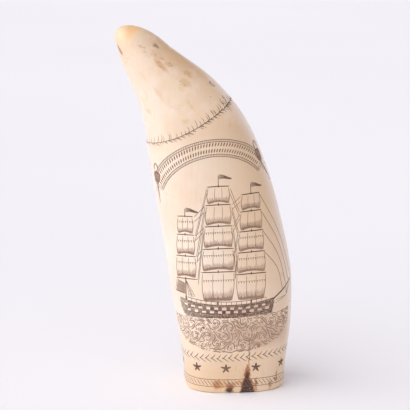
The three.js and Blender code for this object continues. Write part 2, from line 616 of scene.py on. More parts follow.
def draw_chevrons():
    frame = around(CHEVRON_RING[0])
    girth = outside.perimeter_at(CHEVRON_RING[0])
    pitch = girth / CHEVRONS
    for k in range(CHEVRONS):
        s = (k + 0.35 - CHEVRONS / 2) * pitch
        z = ring_height(CHEVRON_RING, s / girth) + wobble(0.15)
        ink = 0.66 + wobble(0.1)
        up = [(s - 0.1, z - 0.1), (s + 0.95 + wobble(0.15), z + 0.75), (s + 1.9 + wobble(0.2), z + 2.1)]
        down = [(s - 0.1, z + 0.1), (s + 1.4, z - 0.95 + wobble(0.1)), (s + 2.7 + wobble(0.2), z - 1.9)]
        cut(up, 0.28, ink, frame, taper=(0.15, 1.2))
        cut(down, 0.28, ink, frame, taper=(0.15, 1.6))
        cut([(s - 0.35, z), (s + 0.4, z)], 0.44, 0.84, frame, taper=(0.2, 0.3))


def draw_stars():
    frame = around(STAR_RING[0])
    girth = outside.perimeter_at(STAR_RING[0])
    for k in range(STARS):
        s = STAR_START + STAR_PITCH * k
        z = ring_height(STAR_RING, s / girth)
        turn, size = wobble(0.12), STAR_RADIUS * (1 + wobble(0.06))
        for arm in range(STAR_ARMS):
            angle = turn + math.pi / 2 + arm * 2 * math.pi / STAR_ARMS
            reaches = (-0.1, size * (1 + wobble(0.1)))
            arm_line = [(s + r * math.cos(angle), z + r * math.sin(angle)) for r in reaches]
            cuts.stroke(frame, arm_line, 0.9, 0.64 + wobble(0.14), (0.45, 2.2), 0.3)


def draw_band():
    frame = around(BAND_TOP[0])
    girth = outside.perimeter_at(BAND_TOP[0])
    for ring in (BAND_TOP, BAND_FOOT):
        ring_line(lambda shares: ring_height(ring, shares), BAND_LINES, 0.24, lambda share: 0.66)
    for k in range(BAND_TICKS):
        share = k / BAND_TICKS - 0.5
        s = share * girth + wobble(0.15)
        z0, z1 = ring_height(BAND_TOP, share) - 0.15, ring_height(BAND_FOOT, share) + 0.1
        cut([(s, z0), (s + 1.0, (z0 + z1) / 2 + 0.3), (s + 2.5 + wobble(0.2), z1)], 0.24, 0.6, frame)


def feather_ink_and_glare(share):
    """The feather's ink, fainter at its left end than at its right: the paleness on the left is a painted
    highlight from the light on that side.
    """
    return 0.66 + 0.2 * math.tanh(share * 9)


def draw_feather():
    ring_line(feather_height, FEATHER_LINES, 0.27, feather_ink_and_glare)
    count = int(outside.perimeter_at(BARB_LEVEL) / BARB_PITCH)
    for k in range(count):
        share = (k + 0.5) / count - 0.5
        low, height, high = feather_height([share - SPINE_REACH, share, share + SPINE_REACH])
        spine = math.atan2(high - low, 2 * SPINE_REACH * outside.perimeter_at(height))
        frame = beside(share, height)
        for reach, leave, bend in BARBS:
            start, reach = wobble(0.7), reach * (1 + wobble(0.35))
            angles = [spine + math.radians(leave + wobble(14)), spine + math.radians(bend + wobble(12))]
            u, z = start * math.cos(spine), start * math.sin(spine)
            line = [(u, z)]
            for angle in angles:
                u, z = u + reach / 2 * math.cos(angle), z + reach / 2 * math.sin(angle)
                line.append((u, z))
            ink = feather_ink_and_glare(share) - 0.1 + wobble(0.12)
            cut(line, 0.23, ink, frame, taper=(0.1, 1.5))


# ---------------- the banner

BANNER_MIDDLE = (3.5, 75.5)
BANNER_OUTER, BANNER_INNER, BANNER_EDGE = 34.0, 27.0, 0.95
BANNER_ENDS = (math.radians(154), math.radians(46))
STROKES, STROKE_SLANT = 46, 0.011
STROKE_ROWS = ((1.5, 3.4, 0.0), (4.0, 5.9, 0.5))  # foot, head and shift of each row of strokes
EDGE_HATCH = 0.013  # share of the banner between the hatches in its edges
# Each tassel: its place, and how far it and its tails move along in each millimetre down.
TASSELS = ((-24.6, 98.6, 0.05, -0.05), (22.2, 107.4, 0.3, 0.7))
TASSEL_LONG, TASSEL_STRANDS = 8.5, 12
TAILS = ((0.5, 17.5, 0.42), (0.1, 14.5, 0.3), (-1.0, 12.8, 0.34))  # place, reach and width


def on_banner(radius, share):
    """The place at a radius and a share of the way from the banner's left end to its right."""
    angle = BANNER_ENDS[0] + (BANNER_ENDS[1] - BANNER_ENDS[0]) * share
    u, z = BANNER_MIDDLE
    return u + radius * math.cos(angle), z + radius * math.sin(angle)


def draw_banner():
    outer, inner, edge = BANNER_OUTER, BANNER_INNER, BANNER_EDGE
    for radius in (outer, outer - edge, inner + edge, inner):
        line = [on_banner(radius + wobble(0.04), share) for share in np.linspace(0, 1, 28)]
        cut(line, 0.25, 0.62)
    for radius in (outer - edge / 2, inner + edge / 2):
        for share in np.arange(0.005, 0.995, EDGE_HATCH):
            ends = [on_banner(radius - 0.4, share), on_banner(radius + 0.4, share + 0.008)]
            cut(ends, 0.2, 0.5 + wobble(0.12), taper=(0.2, 0.2))
    for share in (0, 0.018, 0.982, 1):
        cut([on_banner(inner, share), on_banner(outer, share)], 0.24, 0.6)
    # Even rows of like strokes take the place of an inscription.
    for low, high, shift in STROKE_ROWS:
        for k in range(STROKES):
            share = 0.035 + 0.93 * (k + shift) / STROKES
            ends = [on_banner(inner + low, share), on_banner(inner + high, share + STROKE_SLANT)]
            # The strokes grow paler towards the left end, a painted highlight from the light on that
            # side.
            cut(ends, 0.5, 0.5 + 0.12 * share + wobble(0.08), taper=(0.6, 0.6))


def draw_tassel(u, top, lean, sway):
    """A loop of cord, its hatched tassel and its tails."""

    def at(across, down):
        below = max(0.0, down - TASSEL_LONG)
        return u + across + lean * min(down, TASSEL_LONG) + sway * below, top - down

    angles = np.linspace(-2.5, 2.5, 10)
    for size in (1.0, 0.72):
        cut([at(1.5 * size * math.sin(a), 2.0 - 2.0 * size * math.cos(a)) for a in angles], 0.3, 0.56)
    for k in range(TASSEL_STRANDS):
        across = 2 * k / (TASSEL_STRANDS - 1) - 1
        line = [at(1.1 * across, 3.2), at(2.2 * across, 5.2 + wobble(0.3)), at(0.9 * across, 8.6)]
        cut(line, 0.3, 0.44 + wobble(0.1), taper=(0.6, 0.6))
    cut([at(-0.9, 8.7), at(0.9, 8.7)], 0.5, 0.55)
    for across, reach, width in TAILS:
        cut([at(across * 0.5, 8.4), at(across, 11.0), at(across * 1.6, reach)], width, 0.5)


# ---------------- the ship

# A plain full-rigged ship, drawn by rule.
HULL_MIDDLE, HULL_HALF = 7.0, 21.0
HULL_LEFT, HULL_RIGHT = HULL_MIDDLE - HULL_HALF, HULL_MIDDLE + HULL_HALF
MAIN_MAST, MAST_GAP, DECK = 3.5, 14.0, 40.0
# Each mast: its place in gaps from the main mast, its height, its yards and how dark it is drawn.
MASTS = ((-1, 41.0, 4, 0.4), (0, 55.0, 5, 0.55), (1, 51.0, 5, 0.9))
YARD_HEIGHTS = (0.91, 0.25)  # the highest and lowest yard, as shares of the mast's height
YARD_HALVES = (0.085, 0.13)  # half their lengths, as shares of it
YARD_CROWDING, YARD_TILT = 1.12, 0.035  # above 1, the upper yards lie closer together
SAIL_INSETS = (0.6, 1.0)  # how far in from the yards' ends a sail's head and foot end
SAIL_FOOT = 1.4  # how far above the rail the lowest sails end
REEF_SHARE, REEFED_SAILS, REEF_PITCH = 0.26, 3, 0.88
STRAND_START, STRAND_PITCH = 0.985, 0.42  # share of the way down from which the shading rises
PENNANT_LENGTH, PENNANT_HEIGHT, PENNANT_PITCH = 5.4, 1.7, 0.36
# The braces' heights below the yards, the shrouds' reach along the rail, and how many ratlines.
BRACE_DROPS, SHROUD_REACHES, RATLINES = (0.3, 2.4), (1.5, 3.0, 4.5), 10
STAYS, STAY_GAP = 4, 0.2  # the gap is a share of the bowsprit
BOWSPRIT_RISE, BOWSPRIT_LENGTH = math.radians(33), 13.0
BOOM, GAFF = (2.8, 6.8, 0.6), (7.2, 5.2, 1.4)  # height above the rail, length and rise
# The rows of ports: share of the way up the hull, and how far the row is moved along.
PORT_ROWS = ((0.74, 0.0), (0.44, 1.6))
PORTS, PORT_START, PORT_PITCH = 11, -10.6, 3.35
PORT_WIDTH, PORT_HEIGHT = 1.85, 1.2
HULL_ROWS, PLANK_LENGTHS, SHORT_PLANK = 14, (1.6, 4.6), 0.9
# The rail's and the keel's lowest heights, and how far they sweep up: the rail to both ends, and
# the keel to the bow.
RAIL_LEVEL, RAIL_SHEER, KEEL_LEVEL, KEEL_SHEER = 39.2, 2.4, 33.9, 1.6
# How far in from the stern and the bow the lowest planks end, and how quickly that fades upwards.
STERN_RAKE, BOW_RAKE = (3.4, 2.4), (1.2, 1.4)
RAIL_TALL, RAIL_INSET, RAIL_POSTS = 1.6, 4, 17


def rail(u):
    return RAIL_LEVEL + RAIL_SHEER * ((u - HULL_MIDDLE) / HULL_HALF) ** 2


def keel(u):
    return KEEL_LEVEL + KEEL_SHEER * max(0.0, (u - HULL_MIDDLE) / HULL_HALF) ** 2


def between(ends, share):
    return ends[0] + (ends[1] - ends[0]) * share


def yards_of(mast):
    """A mast's yards from the top: height, left end and right end."""
    gaps, tall, count, _ = mast
    u = MAIN_MAST + gaps * MAST_GAP
    found = []
    for share in np.linspace(0, 1, count):
        half = tall * between(YARD_HALVES, share)
        height = DECK + tall * between(YARD_HEIGHTS, share**YARD_CROWDING)
        found.append((height, u - half, u + half))
    return found


def draw_yard(yard, ink):
    z, left, right = yard
    tilt = YARD_TILT * (right - left) / 2
    points = [(left - 0.2, z - tilt), ((left + right) / 2, z + 0.1), (right + 0.2, z + tilt)]
    cut(points, 0.36, ink, taper=(0.8, 0.8))
    cut([(u, level + 0.1) for u, level in points], 0.28, ink * 0.9, taper=(2.0, 2.0))


def sail_shape(upper, lower, arch):
    """A square sail that hangs from one yard and is spread on the next, its foot arched.

    Gives the place at a share of its width and a share of the way down.
    """
    top, drop = upper[0], upper[0] - lower[0]
    tilts = [YARD_TILT * (right - left) / 2 for _, left, right in (upper, lower)]
    lefts = [yard[1] + inset for yard, inset in zip((upper, lower), SAIL_INSETS)]
    rights = [yard[2] - inset for yard, inset in zip((upper, lower), SAIL_INSETS)]

    def at(across, down):
        bulge = 0.5 * math.sin(math.pi * down)
        left, right = between(lefts, down) - bulge, between(rights, down) + bulge
        level = (across - 0.5) * 2
        lift = (0.5 + arch * (1 - level**2)) * down**3
        return left + (right - left) * across, top - drop * down + lift + level * between(tilts, down)

    return at


def draw_sail(upper, lower, reefs, shade, arch):
    """A sail's edges, foot, seams, reefs and shading."""
    at = sail_shape(upper, lower, arch)
    wide = (lower[2] - SAIL_INSETS[1]) - (lower[1] + SAIL_INSETS[1])
    downs = np.linspace(0.02, 1, 6)
    for across in (0, 1):
        cut([at(across, d) for d in downs], 0.23, 0.58)
    cut([at(a, 1) for a in np.linspace(0, 1, 7)], 0.22, 0.56)
    for across in (1 / 3, 2 / 3):
        cut([at(across, d) for d in downs], 0.17, 0.5)
    for down in reefs:
        cut([at(a, down) for a in np.linspace(0, 1, 6)], 0.14, 0.34)
        points = int(wide / REEF_PITCH)
        for k in range(points):
            u, z = at((k + 0.6) / points, down)
            ends = [(u, z + 0.15), (u + 0.3 + wobble(0.1), z - 0.95 + wobble(0.12))]
            cut(ends, 0.24, 0.64, taper=(0.15, 0.7))
    shade_sail(at, wide, upper[0] - lower[0], shade)


def shade_sail(at, wide, drop, shade):
    """Strands that rise from a sail's foot, a long and a short one by turns."""
    strands = int(wide / STRAND_PITCH)
    for k in range(strands):
        across = (k + 0.5) / strands
        reach = 0.28 + 0.2 * shade + 0.5 * max(0.0, across - 0.74) + wobble(0.06)
        short = reach * (0.3 + 0.2 * chance.random())
        for place, rise, width, ink, thin in (
            (across, reach, 0.24, 0.32 + 0.1 * shade, 0.75),
            (across + 0.5 / strands, short, 0.22, 0.36 + 0.14 * shade, 0.7),
        ):
            ends = [at(place, STRAND_START), at(place, STRAND_START - rise)]
            cut(ends, width, ink, taper=(0.1, rise * drop * thin))


def draw_masts():
    for mast in MASTS:
        gaps, tall, count, shade = mast
        u, head, ink = MAIN_MAST + gaps * MAST_GAP, DECK + tall, 0.52 + 0.34 * shade
        rows = yards_of(mast)
        cut([(u, rows[0][0]), (u, head)], 0.28, ink, taper=(0.1, 0.6))
        for yard in rows:
            draw_yard(yard, ink)
            cut([(u, yard[0] - 0.4), (u, yard[0] + 1.0)], 0.42, ink, taper=(0.3, 0.3))
        arches = [1.0] * (count - 1)
        if gaps < 0:
            cut([(u, rows[-1][0]), (u, rail(u))], 0.5, ink, taper=(0.1, 0.1))
        else:
            _, left, right = rows[-1]
            rows.append((rail(u) + SAIL_FOOT, left + 0.4, right - 0.4))
            arches.append(0.15)
        for k, (upper, lower, arch) in enumerate(zip(rows, rows[1:], arches)):
            reefs = (REEF_SHARE,) if k >= len(arches) - REEFED_SAILS else ()
            draw_sail(upper, lower, reefs, shade if k < 2 else 0.4, arch)
        draw_pennant(u + 0.2, head - 0.9)


def draw_pennant(u, z):
    """A hatched pennant that flies to the right."""
    rows = int(PENNANT_HEIGHT / PENNANT_PITCH)
    for k in range(rows + 1):
        share = k / rows - 0.5
        line = []
        for t in np.linspace(0, 1, 5):
            spread = share * PENNANT_HEIGHT * (1 - 0.8 * t)
            line.append((u + PENNANT_LENGTH * t, z - 0.6 * t + spread + 0.25 * math.sin(5 * t)))
        cut(line, 0.26, 0.6 + wobble(0.08), taper=(0.15, 0.3))


def bowsprit_at(share):
    reach = BOWSPRIT_LENGTH * share
    rise = reach * math.sin(BOWSPRIT_RISE)
    return HULL_RIGHT + reach * math.cos(BOWSPRIT_RISE), rail(HULL_RIGHT) + rise


def draw_rigging():
    """Braces that cross between the masts, the mizzen's shrouds and stays to the bowsprit."""
    yards = [yards_of(mast) for mast in MASTS]
    for aft, fore in zip(yards, yards[1:]):
        for k in range(len(aft) - 1):
            for first, second in ((aft[k], fore[k + 1]), (aft[k + 1], fore[k])):
                for drop in BRACE_DROPS:
                    ends = [(first[2] + 0.2, first[0] - drop), (second[1] - 0.1, second[0] - drop)]
                    cut([(u + wobble(0.15), z + wobble(0.3)) for u, z in ends], 0.2, 0.6 + wobble(0.1))
    u, top = MAIN_MAST - MAST_GAP, yards[0][-1][0] - 0.6
    foot = rail(u) + RAIL_TALL
    for reach in SHROUD_REACHES:
        cut([(u + 0.2, top), (u + reach, foot)], 0.2, 0.6)
    for share in np.linspace(0.2, 0.95, RATLINES):
        z = between((top, foot), share)
        ends = [(u + SHROUD_REACHES[0] * share, z), (u + SHROUD_REACHES[-1] * share, z + 0.1)]
        cut(ends, 0.2, 0.52 + wobble(0.08))
    for k, (z, _, right) in enumerate(yards[-1][:STAYS]):
        end = bowsprit_at(1 - STAY_GAP * k)
        middle = ((right + end[0]) / 2 + 1.6, (z + end[1]) / 2 + 1.0)
        cut([(right - 0.6, z + 0.2), middle, end], 0.24, 0.66, step=1.6)


def draw_bow():
    """The bowsprit, the strut below it and the stays that hold both."""
    cut([bowsprit_at(-0.12), bowsprit_at(1)], 0.45, 0.9)
    cut([bowsprit_at(-0.12), bowsprit_at(0.55)], 0.6, 0.86)
    u, z = bowsprit_at(0.6)
    strut = (u + 0.2, z - 4.0)
    cut([(u, z), strut], 0.3, 0.8)
    for share in (1, 0.8):
        cut([bowsprit_at(share), strut], 0.18, 0.6)
    for low in (1.2, 2.6):
        cut([strut, (HULL_RIGHT, rail(HULL_RIGHT) - low)], 0.18, 0.6)


def draw_spanker():
    """The fore-and-aft sail at the stern, with its boom and gaff."""
    u = MAIN_MAST - MAST_GAP
    spars = []
    for above, length, rise in (BOOM, GAFF):
        z = rail(u) + above
        spars.append(((u, z), (u - length, z + rise)))
        cut(spars[-1], 0.28, 0.72)
    (foot_mast, foot_end), (head_mast, head_end) = np.array(spars)
    leech, luff = (foot_end, head_end), (foot_mast, head_mast)
    cut([foot_end, between(leech, 0.5) + (0.5, 0), head_end], 0.2, 0.58)
    for share in np.linspace(0.05, 0.95, 13):
        ends = [between(leech, share) + (0.8, 0), between(luff, share) - (0.3, 0)]
        cut(ends, 0.28, 0.46 + wobble(0.12), taper=(0.2, 0.2))


def draw_ports():
    """Two rows of pale ports. Gives each one's middle and size."""
    ports = []
    for share, moved in PORT_ROWS:
        for k in range(PORTS):
            u = PORT_START + moved + PORT_PITCH * k
            z = between((keel(u), rail(u)), share)
            wide, tall = PORT_WIDTH * (1 + wobble(0.12)), PORT_HEIGHT * (1 + wobble(0.12))
            ports.append((u, z, wide, tall))
            for side in (-1, 1):
                x, y = u + side * wide / 2, z + side * tall / 2
                cut([(x, z - tall / 2 - 0.1), (x, z + tall / 2 + 0.1)], 0.16, 0.66, taper=(0.15, 0.15))
                cut([(u - wide / 2, y), (u + wide / 2, y)], 0.16, 0.66, taper=(0.15, 0.15))
    return ports


def draw_planks(ports):
    """Rows of strokes from the keel up to the rail, broken at the ports."""
    for k in range(HULL_ROWS):
        share = k / (HULL_ROWS - 1)
        left = HULL_LEFT + STERN_RAKE[0] * (1 - share) ** STERN_RAKE[1]
        right = HULL_RIGHT - BOW_RAKE[0] * (1 - share) ** BOW_RAKE[1]

        def level(u):
            return between((keel(u), rail(u)), share)

        gaps = [
            (port - wide / 2, port + wide / 2)
            for port, height, wide, tall in ports
            if abs(level(port) - height) < tall / 2
        ]
        u = left + wobble(0.2)
        for start, end in sorted(gaps) + [(right + wobble(0.2), right)]:
            while start - u > 0.2:
                stop = u + chance.uniform(*PLANK_LENGTHS)
                if start - stop < SHORT_PLANK:
                    stop = start
                line = [(v, level(v)) for v in np.linspace(u, stop, 3)]
                cuts.stroke(picture, line, 0.4, 0.6 + wobble(0.22), (0.15, 0.15))
                u = stop
            u = end


def draw_rail():
    """The rail in two lines, its posts and the masts' feet."""
    line = [(u, rail(u)) for u in np.linspace(HULL_LEFT, HULL_RIGHT, 12)]
    cut([(u, z + 0.1) for u, z in line], 0.34, 0.82)
    cut([(u, z + RAIL_TALL) for u, z in line[1:-1]], 0.26, 0.68)
    for u in np.linspace(HULL_LEFT + RAIL_INSET, HULL_RIGHT - RAIL_INSET, RAIL_POSTS):
        cut([(u, rail(u)), (u, rail(u) + RAIL_TALL)], 0.22, 0.5 + wobble(0.12), taper=(0.1, 0.3))
    for gaps, _, _, _ in MASTS:
        u = MAIN_MAST + gaps * MAST_GAP
        cut([(u, rail(u)), (u, rail(u) + RAIL_TALL + 0.4)], 0.6, 0.84, taper=(0.1, 0.3))


# ---------------- the sea

SEA_MIDDLE, SEA_HALF, SEA_LEVEL, SEA_DEEP = 8.4, 28.6, 33.6, 15.3
# The rows of curls: height and number.
CURL_ROWS, CURL_PITCH, CURL_SIZE = ((30.4, 9), (26.0, 8), (21.8, 5)), 5.8, 2.2
CURL_DRAW, TRACE_STEP, SEA_CELL = 0.55, 0.3, 0.54
# Each pass of wave lines: gap, width, ink, how many steps one point stands for, and starts tried.
SEA_PASSES = ((0.54, 0.4, 0.38, 2, 6000), (0.3, 0.3, 0.26, 3, 6000))
# Where starts are tried, how many steps a line takes each way, and the fewest points one needs.
SEA_ACROSS, SEA_UP, SEA_REACH, SEA_FEWEST = (-20, 37), (18, 37), (8, 26), 4
CURL_PULL, CURL_FLAT = 5.0, 1.35  # how strongly a curl turns the flow, and how flat it is


def sea_curls():
    """Curls in rows, turning one way and the other: place, size and way."""
    curls = []
    for z, count in CURL_ROWS:
        for k in range(count):
            u = SEA_MIDDLE + (k - (count - 1) / 2) * CURL_PITCH + wobble(1.0)
            curls.append((u, z + wobble(0.8), CURL_SIZE + wobble(0.3), 1 if k % 2 else -1))
    return curls


def sea_flow(curls, u, z):
    """The way a wave line runs at a place: a swell with a curl round each centre."""
    along, up = 1.0, 0.55 * math.cos(0.52 * u + 0.35 * z) + 0.25 * math.sin(1.1 * u - 0.6 * z)
    for cu, cz, size, turn in curls:
        du, dz = u - cu, z - cz
        pull = CURL_PULL * math.exp(-(du * du + CURL_FLAT * dz * dz) / (size * size)) / size
        along -= pull * (turn * dz * CURL_FLAT + CURL_DRAW * du)
        up += pull * (turn * du - CURL_DRAW * dz)
    length = math.hypot(along, up) or 1.0
    return along / length, up / length


def in_sea(u, z):
    out = (u - SEA_MIDDLE) / SEA_HALF
    return abs(out) < 0.99 and SEA_LEVEL - SEA_DEEP * math.sqrt(1 - out * out) < z < keel(u) - 0.3


def draw_sea():
    """Fine lines that follow the flow and keep apart, first the main ones and then fainter ones."""
    curls, taken, own = sea_curls(), {}, 0

    def cell(u, z):
        return int(u // SEA_CELL), int(z // SEA_CELL)

    def free(u, z, gap):
        a, b = cell(u, z)
        for i in (a - 1, a, a + 1):
            for j in (b - 1, b, b + 1):
                for p, q, owner in taken.get((i, j), ()):
                    if owner != own and math.hypot(p - u, q - z) < gap:
                        return False
        return True

    def trace(u, z, way, reach, gap):
        """Points from a place along the flow, to the sea's edge or another line at most."""
        points = []
        for _ in range(reach):
            along, up = sea_flow(curls, u, z)
            u, z = u + way * TRACE_STEP * along, z + way * TRACE_STEP * up
            if not (in_sea(u, z) and free(u, z, gap)):
                break
            points.append((u, z))
        return points

    for gap, width, ink, stride, starts in SEA_PASSES:
        for _ in range(starts):
            u, z = chance.uniform(*SEA_ACROSS), chance.uniform(*SEA_UP)
            reach, tone = chance.randint(*SEA_REACH), ink + wobble(0.1)
            own += 1
            if not (in_sea(u, z) and free(u, z, gap)):
                continue
            line = trace(u, z, -1, reach, gap)[::-1] + [(u, z)] + trace(u, z, 1, reach, gap)
            if len(line) < SEA_FEWEST:
                continue
            for u, z in line:
                taken.setdefault(cell(u, z), []).append((u, z, own))
            cuts.stroke(picture, line[:-1:stride] + line[-1:], width, tone, (0.8, 0.8))


# ---------------- cracks and pits

# Cracks: their points, width and ink.
CRACKS = (
    ([(4.6, 25.0), (4.9, 22.0), (4.6, 19.0), (5.0, 16.0), (4.4, 13.2)], 0.26, 0.56),
    ([(-4.4, 3.0), (-4.2, 5.0), (-4.5, 7.2)], 0.22, 0.45),
    ([(14.0, 0.8), (14.5, 1.8), (14.0, 3.2), (14.4, 5.2)], 0.34, 0.7),
    ([(7.4, 2.6), (7.8, 4.4), (7.0, 5.6), (7.9, 6.9)], 0.28, 0.5),
    ([(17.6, 3.4), (17.3, 5.6), (17.6, 9.2)], 0.2, 0.35),
    ([(10.6, 0.9), (10.7, 2.4)], 0.2, 0.35),
    ([(-1.2, 9.4), (-1.0, 13.0)], 0.14, 0.14), ([(0.4, 8.6), (0.6, 11.6)], 0.14, 0.12),
)
# Pits: place, reach round it, how many, largest width, ink.
PITS = (
    (-0.6, 147.2, 1.4, 1.6, 10, 0.5, 0.07), (-0.2, 144.4, 1.8, 2.0, 16, 0.6, 0.05),
    (-1.0, 147.0, 0.1, 0.1, 1, 0.4, 0.6), (1.8, 149.0, 0.1, 0.1, 1, 0.4, 0.4),
    (5.8, 147.4, 1.1, 1.2, 7, 0.4, 0.3), (3.0, 143.4, 1.2, 2.0, 9, 0.4, 0.34),
    (1.0, 139.6, 1.4, 2.6, 9, 0.4, 0.3), (4.6, 139.8, 1.6, 1.6, 9, 0.4, 0.36),
    (16.6, 131.4, 0.8, 0.5, 5, 0.5, 0.55), (17.8, 129.8, 0.5, 1.0, 4, 0.35, 0.45),
    (11.8, 126.5, 0.3, 0.3, 2, 0.4, 0.5), (15.6, 124.2, 0.3, 1.4, 4, 0.6, 0.85),
    (18.0, 124.6, 0.5, 1.2, 5, 0.5, 0.7), (11.2, 120.4, 0.5, 0.8, 3, 0.4, 0.6),
    (8.2, 120.6, 0.4, 0.4, 2, 0.4, 0.45), (4.1, 131.8, 1.0, 1.2, 6, 0.4, 0.3),
)
# Faint age lines on each side: how many, and between which shares round, heights and lengths.
AGE_LINES, AGE_SHARES, AGE_HEIGHTS, AGE_LENGTHS = 9, (0.22, 0.44), (4, 120), (6, 24)


def draw_cracks():
    for line, width, ink in CRACKS:
        cut(line, width, ink, around(line[0][1]))


def draw_pits():
    for s, z, wide, tall, count, width, ink in PITS:
        frame = around(z)
        for _ in range(count):
            u, v = s + chance.gauss(0, 0.5) * wide, z + chance.gauss(0, 0.5) * tall
            size = width * chance.uniform(0.5, 1)
            ends = [(u, v), (u + wobble(0.3), v + size * chance.uniform(0.9, 1.8))]
            tone = ink * chance.uniform(0.7, 1.2)
            cuts.stroke(frame, ends, size, tone, (0.5 * size, 0.5 * size), size * 0.3)


def draw_age_lines():
    for side in (-1, 1):
        for k in range(AGE_LINES):
            share, z = side * chance.uniform(*AGE_SHARES), chance.uniform(*AGE_HEIGHTS)
            frame, length = beside(share, z), chance.uniform(*AGE_LENGTHS)
            line = [(0, 0)]
            for up, stray in ((0.35, 0.4), (0.7, 0.4), (1, 0.3)):
                line.append((wobble(stray), length * up))
            cut(line, 0.14, 0.14 + wobble(0.04), frame, step=2.5)


draw_chevrons()
draw_stars()
draw_band()
draw_feather()
draw_banner()
for tassel in TASSELS:
    draw_tassel(*tassel)
draw_masts()
draw_rigging()
draw_bow()
draw_spanker()
draw_planks(draw_ports())
draw_rail()
draw_sea()
draw_cracks()
draw_pits()
draw_age_lines()

engraved = mesh_object("engraved_tooth", tooth_mesh(cuts))

# ---------------- materials


class Field:
    """An output of a shader node. Arithmetic on it adds nodes."""

    def __init__(self, shader, socket):
        self.shader, self.socket = shader, socket

    def maths(self, operation, *others):
        inputs = dict(enumerate((self,) + others))
        return self.shader.add("ShaderNodeMath", inputs, operation=operation)

    def __add__(self, other):
        return self.maths("ADD", other)

    def __sub__(self, other):
        return self.maths("SUBTRACT", other)

    def __mul__(self, other):
        return self.maths("MULTIPLY", other)

    def ramp(self, start, end):
        """From 0 at start to 1 at end, smoothly."""
        inputs = {0: self, 1: start, 2: end}
        return self.shader.add("ShaderNodeMapRange", inputs, interpolation_type="SMOOTHSTEP")


class Shader:
    """A material's node tree."""

    def __init__(self, name):
        self.material = bpy.data.materials.new(name)
        self.material.use_nodes = True
        self.tree = self.material.node_tree

    def add(self, kind, inputs, output=0, **settings):
        node = self.tree.nodes.new(kind)
        for setting, value in settings.items():
            setattr(node, setting, value)
        for key, value in inputs.items():
            self.feed(node.inputs[key], value)
        return Field(self, node.outputs[output])

    def feed(self, socket, value):
        if isinstance(value, Field):
            self.tree.links.new(value.socket, socket)
        else:
            socket.default_value = value

    def split(self, place):
        """The three numbers of a place."""
        node = self.tree.nodes.new("ShaderNodeSeparateXYZ")
        self.feed(node.inputs[0], place)
        return [Field(self, output) for output in node.outputs]

    def noise(self, place, scale, detail=3.0, roughness=0.55, output=0):
        inputs = {"Vector": place, "Scale": scale, "Detail": detail, "Roughness": roughness}
        return self.add("ShaderNodeTexNoise", inputs, output)

    def scaled(self, place, factors, moved=(0, 0, 0)):
        inputs = {0: place, 1: factors, 2: moved}
        return self.add("ShaderNodeVectorMath", inputs, operation="MULTIPLY_ADD")

    def mix(self, share, first, second):
        inputs = {0: share, 6: first, 7: second}
        return self.add("ShaderNodeMix", inputs, 2, data_type="RGBA")

    def layered(self, colour, tints):
        """A colour with tints laid over it, each a share and a colour."""
        for share, tint in tints:
            colour = self.mix(share, colour, srgb(*tint))
        return colour

    def finish(self, inputs):
        """Feeds the surface's inputs, and gives the material."""
        surface = self.tree.nodes["Principled BSDF"]
        for name, value in inputs.items():
            self.feed(surface.inputs[name], value)
        return self.material


def srgb(red, green, blue):
    """A shader colour from the 0 to 255 colour that is seen."""
    parts = [c / 255 for c in (red, green, blue)]
    return (*[c / 12.92 if c < 0.04045 else ((c + 0.055) / 1.055) ** 2.4 for c in parts], 1.0)


def set_stops(ramp, colours):
    """Gives a colour ramp its stops, each a place and a colour."""
    stops = ramp.color_ramp.elements
    while len(stops) < len(colours):
        stops.new(0.5)
    for stop, (place, colour) in zip(stops, colours):
        stop.position, stop.color = place, srgb(*colour)


INK_COLOURS = (
    (0.0, (224, 204, 178)), (0.18, (200, 168, 140)), (0.45, (150, 118, 98)), (0.75, (96, 68, 55)),
    (1.0, (54, 36, 32)),
)
